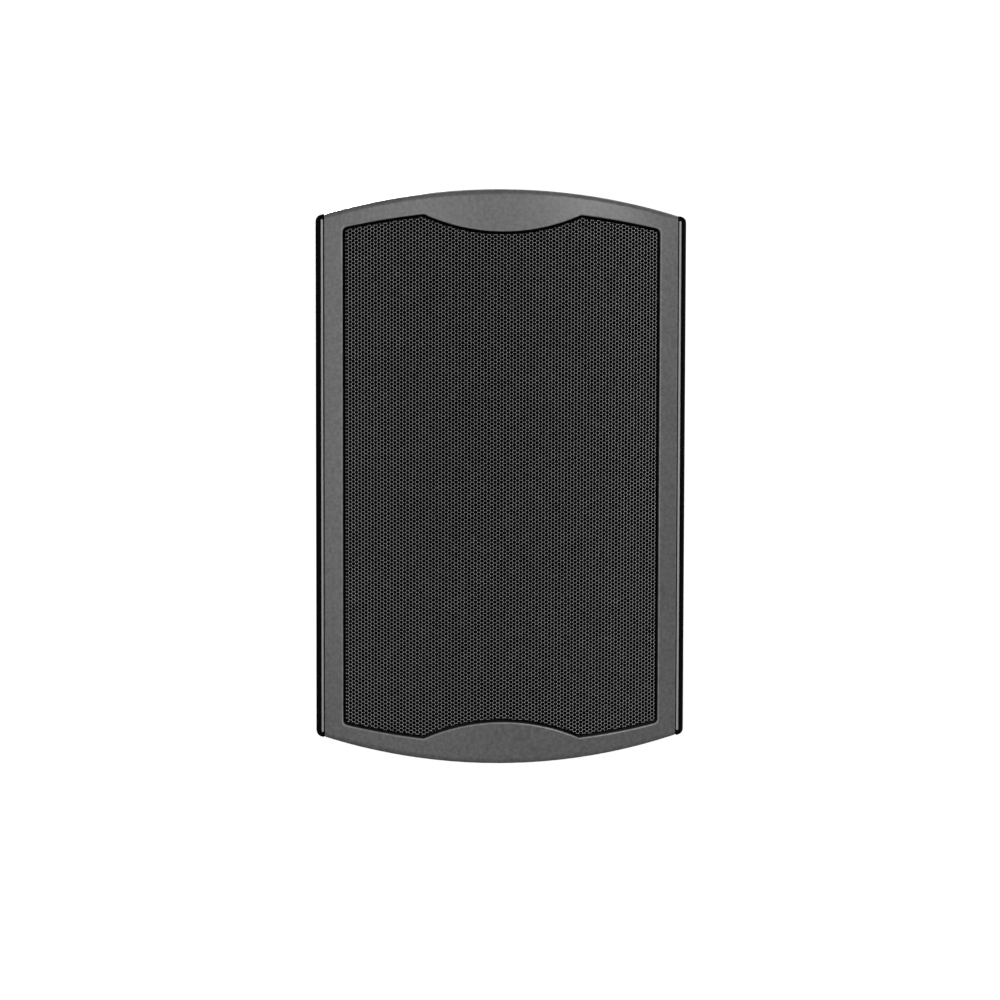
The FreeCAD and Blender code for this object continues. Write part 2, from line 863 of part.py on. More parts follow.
def tweeter_top_plate():
    return ring(tweeter_plate_r, coil_outer + coil_gap, tweeter_plate_low, suspension_low, tweeter_z)


def tweeter_magnet():
    return ring(tweeter_magnet_r, tweeter_magnet_bore_r, tweeter_magnet_low, tweeter_plate_low, tweeter_z)


def tweeter_yoke():
    back = tweeter_magnet_low - tweeter_yoke_thickness
    disc = ring(tweeter_plate_r, 0, back, tweeter_magnet_low, tweeter_z)
    pole = ring(coil_r - coil_gap, 0, tweeter_magnet_low, suspension_low, tweeter_z)
    return disc.fuse(pole).removeSplitter()


# Terminal cup, with two sprung levers on one pin


cup_floor_y = -cup_depth + cup_wall
pin_y = -pin_setback
pin_z = cup_z + cup_height / 2 - cup_wall - pin_drop
lever_x = (lever_width + lever_gap) / 2


def cup_block(margin, y_from, y_to):
    half_x = cup_width / 2 + margin
    half_z = cup_height / 2 + margin
    solid = block((-half_x, half_x), (y_from, y_to), (cup_z - half_z, cup_z + half_z))
    along_y = edges_where(solid, lambda p, e: abs(e.tangentAt(e.FirstParameter).y) > 0.5)
    return solid.makeFillet(cup_corner_r, along_y)


def along_x(radius, x_from, x_to):
    return Part.makeCylinder(radius, x_to - x_from, V(x_from, pin_y, pin_z), V(1, 0, 0))


def terminal_cup():
    cup = cup_block(cup_flange, -cup_flange_thickness, 0)
    cup = cup.fuse(cup_block(0, -cup_depth, -cup_flange_thickness))
    cup = cup.cut(cup_block(-cup_wall, cup_floor_y, 0))
    cuts = [along_x(pin_r + pin_fit, -cup_width / 2, cup_width / 2)]
    cuts += holes(small_screw, cup_screw_places, -cup_flange_thickness, 0)
    sink = small_screw[2] + screw_clearance
    cuts += [rod(small_screw[1] + screw_clearance, x, z, -sink, 0) for x, z in cup_screw_places]
    for s in (-1, 1):
        cuts.append(contact_slot(s))
    return cup.cut(cuts).removeSplitter()


def contact_box(s, width, y, z):
    x = s * lever_x
    return block((x - width / 2, x + width / 2), y, z)


def contact_span():
    low = cup_z - contact_length / 2
    return low, low + contact_length


def contact_slot(s):
    low, high = contact_span()
    middle = (low + high) / 2
    return contact_box(
        s,
        contact_tag_width + 2 * screw_clearance,
        (-cup_depth, cup_floor_y),
        (middle - contact_thickness / 2 - screw_clearance, middle + contact_thickness / 2 + screw_clearance),
    )


def terminal_contacts():
    # A plate on the cup's floor with a solder tag through it, for each lever
    low, high = contact_span()
    middle = (low + high) / 2
    solids = []
    for s in (-1, 1):
        plate = contact_box(s, contact_width, (cup_floor_y, cup_floor_y + contact_thickness), (low, high))
        tag = contact_box(
            s,
            contact_tag_width,
            (-cup_depth - contact_tag, cup_floor_y),
            (middle - contact_thickness / 2, middle + contact_thickness / 2),
        )
        solids.append(plate.fuse(tag).removeSplitter())
    return Part.makeCompound(solids)


def terminal_gasket():
    low = -cup_flange_thickness - cup_gasket
    sheet = cup_block(cup_flange, low, -cup_flange_thickness)
    sheet = sheet.cut(cup_block(cup_clearance, low, -cup_flange_thickness))
    return sheet.cut(holes(small_screw, cup_screw_places, low, -cup_flange_thickness))


def terminal_pin():
    return along_x(pin_r, -cup_width / 2, cup_width / 2)


def terminal_lever(s):
    # Barrel on the pin, a flat arm hanging from it and a finger pad at the arm's end
    x_from = s * lever_x - lever_width / 2
    x_to = x_from + lever_width
    half = lever_thickness / 2
    arm = block((x_from, x_to), (pin_y - half, pin_y + half), (pin_z - lever_length, pin_z))
    pad = block(
        (x_from, x_to),
        (pin_y + half, pin_y + half + lever_pad),
        (pin_z - lever_length, pin_z - lever_length + lever_pad_height),
    )
    lever = along_x(lever_barrel_r, x_from, x_to).fuse([arm, pad])
    return lever.cut(along_x(pin_r + pin_fit, x_from, x_to)).removeSplitter()


# Crossover on the rear wall


board_back_y = -wall - board_standoff
board_front_y = board_back_y - board_thickness
board_low = board_z - board_height / 2


def crossover_board():
    half = board_width / 2
    board = block((-half, half), (board_front_y, board_back_y), (board_low, board_low + board_height))
    return board.cut(holes(small_screw, board_screw_places, board_front_y, board_back_y))


def crossover_inductor():
    z = board_low + board_height / 2 + inductor_r
    return tube(inductor_r, inductor_bore_r, 0, z, board_front_y - inductor_height, board_front_y)


def capacitor_z():
    return board_low + board_height / 2 - capacitor_r - component_margin


def crossover_capacitors():
    y = board_front_y - capacitor_r
    left_x = -component_margin / 2 - capacitor_length
    starts = [V(x, y, capacitor_z()) for x in (left_x, component_margin / 2)]
    return Part.makeCompound(
        [Part.makeCylinder(capacitor_r, capacitor_length, start, V(1, 0, 0)) for start in starts]
    )


def crossover_resistor():
    width, thick, high = resistor_size
    top = capacitor_z() - capacitor_r - component_margin
    return block((-width / 2, width / 2), (board_front_y - thick, board_front_y), (top - high, top))


def damping_pad():
    low = insert_spacing_z / 2 + insert_r + insert_boss_wall + pad_gap
    return block((-pad_width / 2, pad_width / 2), (-wall - pad_thickness, -wall), (low, low + pad_height))


# Groups of like pieces


def screws(size, length, places, head_y, facing):
    return Part.makeCompound([screw(size, length, x, z, head_y, facing) for x, z in places])


def wall_inserts():
    return Part.makeCompound(
        [tube(insert_r, insert_bore_r, x, z, -insert_length, 0) for x, z in insert_places]
    )


trim_top_y = floor_y - flange - trim_ring_height
faceplate_y = floor_y - faceplate
cup_head_y = -small_screw[2] - screw_clearance

pieces = {
    "rear_cabinet": rear_cabinet(),
    "side_trims": side_trims(),
    "front_baffle": front_baffle(),
    "baffle_gasket": baffle_gasket(),
    "baffle_screws": screws(baffle_screw, baffle_screw_length, baffle_screw_places(), floor_y, -1),
    "grille": grille(),
    "grille_scrim": grille_scrim(),
    "woofer_basket": woofer_basket(),
    "woofer_trim_ring": woofer_trim_ring(),
    "woofer_surround": woofer_surround(),
    "woofer_cone": woofer_cone(),
    "woofer_dust_cap": woofer_dust_cap(),
    "woofer_voice_coil": woofer_voice_coil(),
    "woofer_spider": woofer_spider(),
    "woofer_top_plate": woofer_top_plate(),
    "woofer_magnet": woofer_magnet(),
    "woofer_yoke": woofer_yoke(),
    "woofer_terminals": woofer_terminals(),
    "woofer_screws": screws(driver_screw, driver_screw_length, woofer_screw_places, trim_top_y, -1),
    "tweeter_waveguide": tweeter_waveguide(),
    "tweeter_dome": tweeter_dome(),
    "tweeter_voice_coil": tweeter_voice_coil(),
    "tweeter_suspension": tweeter_suspension(),
    "tweeter_top_plate": tweeter_top_plate(),
    "tweeter_magnet": tweeter_magnet(),
    "tweeter_yoke": tweeter_yoke(),
    "tweeter_screws": screws(driver_screw, driver_screw_length, tweeter_screw_places, faceplate_y, -1),
    "wall_inserts": wall_inserts(),
    "terminal_cup": terminal_cup(),
    "terminal_gasket": terminal_gasket(),
    "terminal_contacts": terminal_contacts(),
    "terminal_pin": terminal_pin(),
    "terminal_lever_red": terminal_lever(-1),
    "terminal_lever_black": terminal_lever(1),
    "terminal_screws": screws(small_screw, small_screw_length, cup_screw_places, cup_head_y, 1),
    "crossover_board": crossover_board(),
    "crossover_inductor": crossover_inductor(),
    "crossover_capacitors": crossover_capacitors(),
    "crossover_resistor": crossover_resistor(),
    "crossover_screws": screws(small_screw, small_screw_length, board_screw_places, board_front_y, -1),
    "damping_pad": damping_pad(),
}

os.makedirs("parts", exist_ok=True)
for name, shape in pieces.items():
    shape.exportStep("parts/" + name + ".step")
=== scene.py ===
import math

import bpy
import numpy as np
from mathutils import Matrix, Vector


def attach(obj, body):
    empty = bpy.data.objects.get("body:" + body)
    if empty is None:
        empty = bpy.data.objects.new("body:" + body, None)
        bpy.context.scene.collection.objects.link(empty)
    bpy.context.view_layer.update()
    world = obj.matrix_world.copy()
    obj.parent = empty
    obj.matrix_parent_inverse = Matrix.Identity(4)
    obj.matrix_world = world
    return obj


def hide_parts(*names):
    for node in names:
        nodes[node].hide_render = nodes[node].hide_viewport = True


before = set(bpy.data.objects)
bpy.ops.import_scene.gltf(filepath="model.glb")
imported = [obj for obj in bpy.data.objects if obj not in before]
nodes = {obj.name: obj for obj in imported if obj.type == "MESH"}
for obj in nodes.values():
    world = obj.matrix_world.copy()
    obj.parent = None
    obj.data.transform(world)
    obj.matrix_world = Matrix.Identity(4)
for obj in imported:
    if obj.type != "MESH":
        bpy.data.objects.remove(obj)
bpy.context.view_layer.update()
scene = bpy.context.scene
print("stage: frame loaded,", len(nodes), "nodes")

# Small tools for shaders and objects


def addObject(name, data):
    made = bpy.data.objects.new(name, data)
    scene.collection.objects.link(made)
    return made


def join(tree, source, target):
    # A plain number sets the socket, and an output is linked to it
    if isinstance(source, (int, float)):
        target.default_value = source
    else:
        tree.links.new(source, target)


def mathNode(tree, operation, a, b=None, c=None):
    node = tree.nodes.new("ShaderNodeMath")
    node.operation = operation
    for index, value in enumerate((a, b, c)):
        if value is not None:
            join(tree, value, node.inputs[index])
    return node.outputs[0]


def mapRange(tree, value, start, end, low, high, blend="SMOOTHSTEP"):
    node = tree.nodes.new("ShaderNodeMapRange")
    node.interpolation_type = blend
    sources = {"Value": value, "From Min": start, "From Max": end, "To Min": low, "To Max": high}
    for key, source in sources.items():
        join(tree, source, node.inputs[key])
    return node.outputs["Result"]


def distanceFrom(tree, a, b, centre):
    # How far the point (a, b) lies from (0, centre)
    away = mathNode(tree, "SUBTRACT", b, centre)
    squares = mathNode(tree, "MULTIPLY_ADD", a, a, mathNode(tree, "MULTIPLY", away, away))
    return mathNode(tree, "SQRT", squares)


def newGroup(name, inputs, outputs):
    group = bpy.data.node_groups.new(name, "ShaderNodeTree")
    for label, kind, value in inputs:
        socket = group.interface.new_socket(label, in_out="INPUT", socket_type=kind)
        socket.default_value = value
    for label, kind in outputs:
        group.interface.new_socket(label, in_out="OUTPUT", socket_type=kind)
    return group, group.nodes.new("NodeGroupInput"), group.nodes.new("NodeGroupOutput")


def useGroup(tree, group, values):
    node = tree.nodes.new("ShaderNodeGroup")
    node.node_tree = group
    for key, value in values.items():
        node.inputs[key].default_value = value
    return node


def objectPlace(tree):
    return tree.nodes.new("ShaderNodeTexCoord").outputs["Object"]


def placeAxes(tree):
    # The x, y and z of the object's own coordinates
    split = tree.nodes.new("ShaderNodeSeparateXYZ")
    join(tree, objectPlace(tree), split.inputs[0])
    return split.outputs["X"], split.outputs["Y"], split.outputs["Z"]


def noise(tree, place, scale, detail=3.0):
    node = tree.nodes.new("ShaderNodeTexNoise")
    node.inputs["Detail"].default_value = detail
    join(tree, place, node.inputs["Vector"])
    join(tree, scale, node.inputs["Scale"])
    return node.outputs["Fac"]


def scaleColor(tree, color, share):
    node = tree.nodes.new("ShaderNodeVectorMath")
    node.operation = "SCALE"
    join(tree, color, node.inputs[0])
    join(tree, share, node.inputs["Scale"])
    return node.outputs[0]


def tintSurface(tree, share):
    # Scales the base colour that the surface already has
    base = tree.nodes["Principled BSDF"].inputs["Base Color"]
    join(tree, scaleColor(tree, base.links[0].from_socket, share), base)


def roughenSurface(tree, more):
    rough = tree.nodes["Principled BSDF"].inputs["Roughness"]
    join(tree, mathNode(tree, "ADD", rough.links[0].from_socket, more), rough)


def makeGrainGroup():
    # Fine grain with a slow mottle: a colour, a roughness and a height
    tree, given, out = newGroup(
        "surfaceGrain",
        [
            ("Color", "NodeSocketColor", (0.5, 0.5, 0.5, 1)),
            ("Grain Scale", "NodeSocketFloat", 1200.0),
            ("Grain", "NodeSocketFloat", 0.1),
            ("Mottle Scale", "NodeSocketFloat", 40.0),
            ("Mottle", "NodeSocketFloat", 0.05),
            ("Roughness", "NodeSocketFloat", 0.5),
            ("Roughness Spread", "NodeSocketFloat", 0.06),
        ],
        [
            ("Color", "NodeSocketColor"),
            ("Roughness", "NodeSocketFloat"),
            ("Height", "NodeSocketFloat"),
        ],
    )
    place = objectPlace(tree)
    grain = noise(tree, place, given.outputs["Grain Scale"])
    mottle = noise(tree, place, given.outputs["Mottle Scale"])
    grainShift = mathNode(tree, "SUBTRACT", grain, 0.5)
    mottleShift = mathNode(tree, "SUBTRACT", mottle, 0.5)
    mottled = mathNode(tree, "MULTIPLY_ADD", mottleShift, given.outputs["Mottle"], 1.0)
    change = mathNode(tree, "MULTIPLY_ADD", grainShift, given.outputs["Grain"], mottled)
    join(tree, scaleColor(tree, given.outputs["Color"], change), out.inputs["Color"])
    spread = mathNode(tree, "MULTIPLY", mottleShift, given.outputs["Roughness Spread"])
    rough = mathNode(tree, "ADD", given.outputs["Roughness"], spread)
    join(tree, rough, out.inputs["Roughness"])
    join(tree, grain, out.inputs["Height"])
    return tree


def makeWeaveGroup():
    # Plain weave in the plane of the front: a mask of the threads, which is also their height
    tree, given, out = newGroup(
        "plainWeave", [("Pitch", "NodeSocketFloat", 0.001)], [("Threads", "NodeSocketFloat")]
    )
    x, _, z = placeAxes(tree)
    turn = mathNode(tree, "DIVIDE", math.pi, given.outputs["Pitch"])
    across = mathNode(tree, "SINE", mathNode(tree, "MULTIPLY", x, turn))
    upward = mathNode(tree, "SINE", mathNode(tree, "MULTIPLY", z, turn))
    crossing = mathNode(tree, "MULTIPLY", across, upward)
    join(tree, mathNode(tree, "MULTIPLY_ADD", crossing, 0.5, 0.5), out.inputs["Threads"])
    return tree


def makeRingGroup():
    # Fine rings round a line along y at a given height: turning marks and a cone's ribs
    tree, given, out = newGroup(
        "turnedRings",
        [("Centre Z", "NodeSocketFloat", 0.0), ("Pitch", "NodeSocketFloat", 0.0005)],
        [("Rings", "NodeSocketFloat")],
    )
    x, _, z = placeAxes(tree)
    radius = distanceFrom(tree, x, z, given.outputs["Centre Z"])
    turn = mathNode(tree, "DIVIDE", math.tau, given.outputs["Pitch"])
    wave = mathNode(tree, "SINE", mathNode(tree, "MULTIPLY", radius, turn))
    join(tree, mathNode(tree, "MULTIPLY_ADD", wave, 0.5, 0.5), out.inputs["Rings"])
    return tree


grainGroup = makeGrainGroup()
weaveGroup = makeWeaveGroup()
ringGroup = makeRingGroup()

surfaceDefaults = {
    "grainScale": 1500.0,
    "grain": 0.15,
    "mottleScale": 40.0,
    "mottle": 0.12,
    "roughnessSpread": 0.1,
    "metallic": 0.0,
    "specular": 0.5,
    "bump": 0.1,
    "bumpDepth": 0.0002,
    "threadFloor": 0.6,  # shade between the threads of a weave
    "threadGain": 0.5,  # added to it on the threads
}


def makeMaterial(name, settings):
    # A principled surface whose colour, roughness and height come from the shared groups
    s = {**surfaceDefaults, **settings}
    material = bpy.data.materials.new(name)
    material.use_nodes = True
    tree = material.node_tree
    surface = tree.nodes["Principled BSDF"]
    grain = useGroup(
        tree,
        grainGroup,
        {
            "Color": (*s["color"], 1),
            "Grain Scale": s["grainScale"],
            "Grain": s["grain"],
            "Mottle Scale": s["mottleScale"],
            "Mottle": s["mottle"],
            "Roughness": s["roughness"],
            "Roughness Spread": s["roughnessSpread"],
        },
    )
    join(tree, grain.outputs["Color"], surface.inputs["Base Color"])
    join(tree, grain.outputs["Roughness"], surface.inputs["Roughness"])
    surface.inputs["Metallic"].default_value = s["metallic"]
    surface.inputs["Specular IOR Level"].default_value = s["specular"]
    height = grain.outputs["Height"]
    if "weave" in s:
        height = useGroup(tree, weaveGroup, {"Pitch": s["weave"]}).outputs["Threads"]
        tintSurface(tree, mathNode(tree, "MULTIPLY_ADD", height, s["threadGain"], s["threadFloor"]))
    if "rings" in s:
        centreZ, pitch = s["rings"]
        height = useGroup(tree, ringGroup, {"Centre Z": centreZ, "Pitch": pitch}).outputs["Rings"]
    bump = tree.nodes.new("ShaderNodeBump")
    bump.inputs["Strength"].default_value = s["bump"]
    bump.inputs["Distance"].default_value = s["bumpDepth"]
    join(tree, height, bump.inputs["Height"])
    join(tree, bump.outputs["Normal"], surface.inputs["Normal"])
    return material


def dress(material, *names):
    for name in names:
        mesh = nodes[name].data
        mesh.materials.clear()
        mesh.materials.append(material)


# Camera, set as in the photo

cameraSettings = {
    "target": (0.0, -0.186, 0.0),  # middle of the bow's crown
    "distance": 1.272,
    "azimuth": -2.87,  # degrees, to the left of the front
    "elevation": 3.0,
    "roll": -0.138,
    "lens": 79.956,
    "shift": (-0.0026, -0.0217),
    "sensor": 36.0,
}
azimuth = math.radians(cameraSettings["azimuth"])
elevation = math.radians(cameraSettings["elevation"])
backward = np.array(
    [
        math.sin(azimuth) * math.cos(elevation),
        -math.cos(azimuth) * math.cos(elevation),
        math.sin(elevation),
    ]
)
cameraData = bpy.data.cameras.new("camera")
cameraData.lens = cameraSettings["lens"]
cameraData.sensor_width = cameraSettings["sensor"]
cameraData.shift_x, cameraData.shift_y = cameraSettings["shift"]
cameraObject = addObject("camera", cameraData)
cameraObject.location = np.array(cameraSettings["target"]) + cameraSettings["distance"] * backward
cameraObject.rotation_euler = (
    math.pi / 2 - elevation,
    math.radians(cameraSettings["roll"]),
    azimuth,
)
scene.camera = cameraObject
scene.view_settings.view_transform = "Standard"
print("stage: camera")

# The grille's opening: arched ends, each with a scallop dipping in at the middle

openingSettings = {
    "half": 0.0913,
    "reach": 0.1408,  # from the middle to the bottom of each scallop
    "scallopDepth": 0.0097,
    "cuspHalf": 0.0449,
    "drop": 0.0075,  # from the cusps down to the corners
    "cornerRadius": 0.003,
    "bowRadius": 0.440,
    "bowAxis": 0.254,
}


def openingArcs(inset):
    # Half width and the arcs of the outline, drawn in by the inset
    s = openingSettings
    cusp, dip = s["cuspHalf"], s["scallopDepth"]
    cuspZ = s["reach"] + dip
    sideZ = cuspZ - s["drop"]
    dipRadius = (cusp**2 + dip**2) / (2 * dip)
    endCentre = (s["half"] ** 2 + sideZ**2 - cusp**2 - cuspZ**2) / (2 * (sideZ - cuspZ))
    return {
        "half": s["half"] - inset,
        "endCentre": endCentre,
        "endRadius": math.hypot(cusp, cuspZ - endCentre) - inset,
        "dipCentre": s["reach"] + dipRadius,
        "dipRadius": dipRadius + inset,
        "cornerRadius": s["cornerRadius"] - inset,
    }


# Front moulding and cabinet

frontPaint = {
    "color": (0.147, 0.1475, 0.150),
    "grainScale": 520.0,
    "grain": 1.1,
    "mottleScale": 60.0,
    "mottle": 0.12,
    "roughness": 0.30,
    "bump": 0.12,
    "bumpDepth": 0.0001,
    "edgeWidth": 0.0011,
    "faceHalf": 0.102,
    "archRadius": 0.37857,
    "crown": 0.165,  # height of the top of the arched end
    # painted highlights: how much lighter the paint is along the opening's edge, the sides and the top
    # edge
    "edgeHighlightGain": 1.0,
    "sideHighlightGain": 0.3,
    "crestHighlightGain": 1.4,
    "wallShadeShare": 0.97,  # how far painted shade darkens the wall inside the opening
    "edgeStart": 0.0003,  # from here to its width a painted highlight line fades
    "sideStart": 0.0002,
    "edgeDepth": (0.0006, 0.0011),  # under the bow, where the painted highlight gives way to the painted shade of the wall
    "wallShadeFade": (0.0002, 0.0006),  # of the painted shade on the wall, outwards from the opening
    "crestDepth": (0.0026, 0.0034),  # under the bow, where the top edge's painted highlight ends
}


def makeOpeningGroup():
    # Masks of painted highlights on the opening's edge and the front's side and top edges, and of
    # painted shade on the wall inside the opening
    s, arcs = frontPaint, openingArcs(0.0)
    tree, given, out = newGroup(
        "openingEdge",
        [("Edge Width", "NodeSocketFloat", 0.001), ("Face Half", "NodeSocketFloat", 0.102)],
        [(label, "NodeSocketFloat") for label in ("Edge", "Inside", "Side", "Crest")],
    )
    width = given.outputs["Edge Width"]
    x, y, z = placeAxes(tree)
    sideX = mathNode(tree, "ABSOLUTE", x)
    endZ = mathNode(tree, "ABSOLUTE", z)

    def fade(value, start, end):
        return mapRange(tree, value, start, end, 1.0, 0.0)

    toEnd = distanceFrom(tree, sideX, endZ, arcs["endCentre"])
    toDip = distanceFrom(tree, sideX, endZ, arcs["dipCentre"])
    end = mathNode(tree, "SUBTRACT", toEnd, arcs["endRadius"])
    side = mathNode(tree, "SUBTRACT", sideX, arcs["half"])
    dip = mathNode(tree, "SUBTRACT", arcs["dipRadius"], toDip)
    outer = mathNode(tree, "SMOOTH_MAX", end, side, arcs["cornerRadius"])
    outside = mathNode(tree, "MAXIMUM", outer, dip)
    bow = distanceFrom(tree, x, y, openingSettings["bowAxis"])
    sunk = mathNode(tree, "SUBTRACT", openingSettings["bowRadius"], bow)
    shallow = fade(sunk, *s["edgeDepth"])
    near = fade(outside, s["edgeStart"], width)
    join(tree, mathNode(tree, "MULTIPLY", near, shallow), out.inputs["Edge"])
    deep = mathNode(tree, "SUBTRACT", 1.0, shallow)
    join(tree, mathNode(tree, "MULTIPLY", fade(outside, *s["wallShadeFade"]), deep), out.inputs["Inside"])
    rest = mathNode(tree, "SUBTRACT", given.outputs["Face Half"], sideX)
    join(tree, fade(rest, s["sideStart"], width), out.inputs["Side"])
    risen = distanceFrom(tree, x, z, s["crown"] - s["archRadius"])
    below = mathNode(tree, "SUBTRACT", s["archRadius"], risen)
    rounded = fade(sunk, *s["crestDepth"])
    crest = mathNode(tree, "MULTIPLY", fade(below, s["edgeStart"], width), rounded)
    join(tree, crest, out.inputs["Crest"])
    return tree


def makeFrontMaterial():
    s = frontPaint
    material = makeMaterial("frontPaint", s)
    tree = material.node_tree
    masks = useGroup(
        tree, makeOpeningGroup(), {"Edge Width": s["edgeWidth"], "Face Half": s["faceHalf"]}
    )
    inside = masks.outputs["Inside"]
    # Painted highlights lighten the paint along the edges, and painted shade darkens the wall inside
    # the opening
    paintedLight = 1.0
    for label, gain in (("Edge", s["edgeHighlightGain"]), ("Side", s["sideHighlightGain"]), ("Crest", s["crestHighlightGain"])):
        paintedLight = mathNode(tree, "MULTIPLY_ADD", masks.outputs[label], gain, paintedLight)
    shadedWall = mathNode(tree, "MULTIPLY_ADD", inside, -s["wallShadeShare"], 1.0)
    tintSurface(tree, mathNode(tree, "MULTIPLY", paintedLight, shadedWall))
    roughenSurface(tree, mathNode(tree, "MULTIPLY", inside, 1.0 - s["roughness"]))
    return material


dress(makeFrontMaterial(), "front_baffle")

cabinetBlack = {
    "color": (0.010, 0.010, 0.0104),
    "grainScale": 2200.0,
    "grain": 0.5,
    "mottleScale": 25.0,
    "mottle": 0.2,
    "roughness": 0.55,
    "specular": 0.12,
    "bump": 0.3,
    "bumpDepth": 0.00015,
    "lipShadeRange": (-0.160, -0.145),  # depths between which the painted shade on the lips fades out
    "lipShadeShare": 0.03,
    "lipDull": 0.4,
}


def makeCabinetMaterial():
    # The lips beside the front get a painted shade, a deader black than the rest
    s = cabinetBlack
    material = makeMaterial("cabinetBlack", s)
    tree = material.node_tree
    _, depth, _ = placeAxes(tree)
    share = mapRange(tree, depth, *s["lipShadeRange"], s["lipShadeShare"], 1.0, "LINEAR")
    tintSurface(tree, share)
    roughenSurface(tree, mathNode(tree, "MULTIPLY_ADD", share, -s["lipDull"], s["lipDull"]))
    return material


dress(makeCabinetMaterial(), "rear_cabinet")

# Light grey, lighter than the front's paint: partly the trims' own colour, partly a painted highlight
# along the side edges
trimGreyAndHighlight = {
    "color": (0.42, 0.42, 0.428),
    "grainScale": 900.0,
    "grain": 0.1,
    "mottle": 0.1,
    "roughness": 0.42,
    "bump": 0.05,
}
dress(makeMaterial("trimGreyAndHighlight", trimGreyAndHighlight), "side_trims")
print("stage: front and cabinet")

# Grille: a punched honeycomb sheet on the bow, clipped to the scalloped opening

grilleSettings = {
    "rowPitch": 0.0021581,
    "columnPitch": 0.0018591,
    "offset": (-0.000338, -0.0002425),  # of the pattern from the middle
    "halfHeight": 0.155,  # that the pattern covers before it is clipped
    "bowShare": 1.02,  # of the run along the bow to the width across it
    "hole": 0.00209,  # across the flats of each round, twelve-sided hole
    "sheet": 0.0003,
    "gap": 0.0016,  # between the sheet and the opening
    "bandEdge": 0.048,  # height at which the sheet is parted into bands
    "setback": 0.002,
    "color": (0.58, 0.575, 0.58),
    "roughness": 0.42,
    "grainScale": 2500.0,
    "grain": 0.2,
    "mottle": 0.1,
    "bump": 0.05,
}
holeSides = 12  # the corner numbers of the bars and junctions count on this
grilleArcs = openingArcs(grilleSettings["gap"])
bowRadius, bowAxis = openingSettings["bowRadius"], openingSettings["bowAxis"]
sheetRadius = bowRadius - grilleSettings["setback"]


def outsideBy(x, z):
    # How far a point lies outside the grille's outline, below zero inside
    s = grilleArcs
    x, z = np.abs(x), np.abs(z)
    end = np.hypot(x, z - s["endCentre"]) - s["endRadius"]
    side = x - s["half"]
    scallop = s["dipRadius"] - np.hypot(x, z - s["dipCentre"])
    r = s["cornerRadius"]
    cornerX = s["half"] - r
    cornerZ = s["endCentre"] + math.sqrt((s["endRadius"] - r) ** 2 - cornerX**2)
    corner = np.hypot(x - cornerX, z - cornerZ) - r
    inCorner = (x > cornerX) & (z > cornerZ)
    return np.where(inCorner, corner, np.maximum(np.maximum(end, side), scallop))


def onBow(along, z, sunk):
    # A point given by its run along the bow, its height and its depth under the sheet's face
    turn = along / sheetRadius
    radius = sheetRadius - sunk
    return np.stack([radius * np.sin(turn), bowAxis - radius * np.cos(turn), z], -1)


def makeLattice():
    # Corners of all holes, the number of each hole, and which columns stand half a row up
    s = grilleSettings
    columns = int(grilleArcs["half"] * s["bowShare"] / s["columnPitch"]) + 2
    rows = int(s["halfHeight"] / s["rowPitch"]) + 2
    i, j = np.meshgrid(np.arange(-columns, columns + 1), np.arange(-rows, rows + 1), indexing="ij")
    odd = i % 2
    along = i * s["columnPitch"] + s["offset"][0]
    z = j * s["rowPitch"] + odd * s["rowPitch"] / 2 + s["offset"][1]
    step = 360.0 / holeSides
    reach = s["hole"] / 2 / math.cos(math.radians(step / 2))
    turns = np.radians(step * np.arange(holeSides) - step / 2)
    cornersAlong = along[..., None] + reach * np.cos(turns)
    cornersZ = z[..., None] + reach * np.sin(turns)
    flat = np.stack([cornersAlong.reshape(-1), cornersZ.reshape(-1)], -1)
    return flat, np.arange(i.size).reshape(i.shape), odd


def makeGrillePolygons():
    # Flat polygons between the holes: three bars and two junctions to a cell
    flat, number, odd = makeLattice()
    columnCount, rowCount = number.shape
    i, j = np.indices(number.shape)
    own, up = (i, j), (i, j + 1)
    upRight, downRight = (i + 1, j + odd), (i + 1, j + odd - 1)

    def inside(cells):
        return (cells[0] >= 0) & (cells[0] < columnCount) & (cells[1] >= 0) & (cells[1] < rowCount)

    def pick(chosen, *families):
        return [(cells[0][chosen], cells[1][chosen]) for cells in families]

    def around(*places):
        return np.stack([number[cells] * holeSides + k for cells, k in places], -1)

    bars = []
    for other, mine, theirs in (
        (up, (3, 4), (9, 10)),
        (upRight, (1, 2), (7, 8)),
        (downRight, (11, 0), (5, 6)),
    ):
        here, there = pick(inside(other), own, other)
        bars.append(around((here, mine[0]), (there, theirs[1]), (there, theirs[0]), (here, mine[1])))
    here, a, b = pick(inside(up) & inside(upRight), own, upRight, up)
    junctions = [around((a, 7), (a, 6), (b, 11), (b, 10), (here, 3), (here, 2))]
    here, a, b = pick(inside(upRight) & inside(downRight), own, downRight, upRight)
    junctions.append(around((b, 9), (b, 8), (here, 1), (here, 0), (a, 5), (a, 4)))
    return flat, np.vstack(bars), np.vstack(junctions)


def clipPolygon(points, depths, holeEdges):
    # The part of a polygon inside the outline, and which of its edges border a hole
    kept, flags = [], []
    count = len(points)
    for k in range(count):
        a, b = points[k], points[(k + 1) % count]
        da, db = depths[k], depths[(k + 1) % count]
        if da <= 0:
            kept.append(a)
            flags.append(holeEdges[k])
        if (da <= 0) != (db <= 0):
            kept.append(a + (b - a) * (da / (da - db)))
            flags.append(holeEdges[k] if da > 0 else False)
    return kept, flags


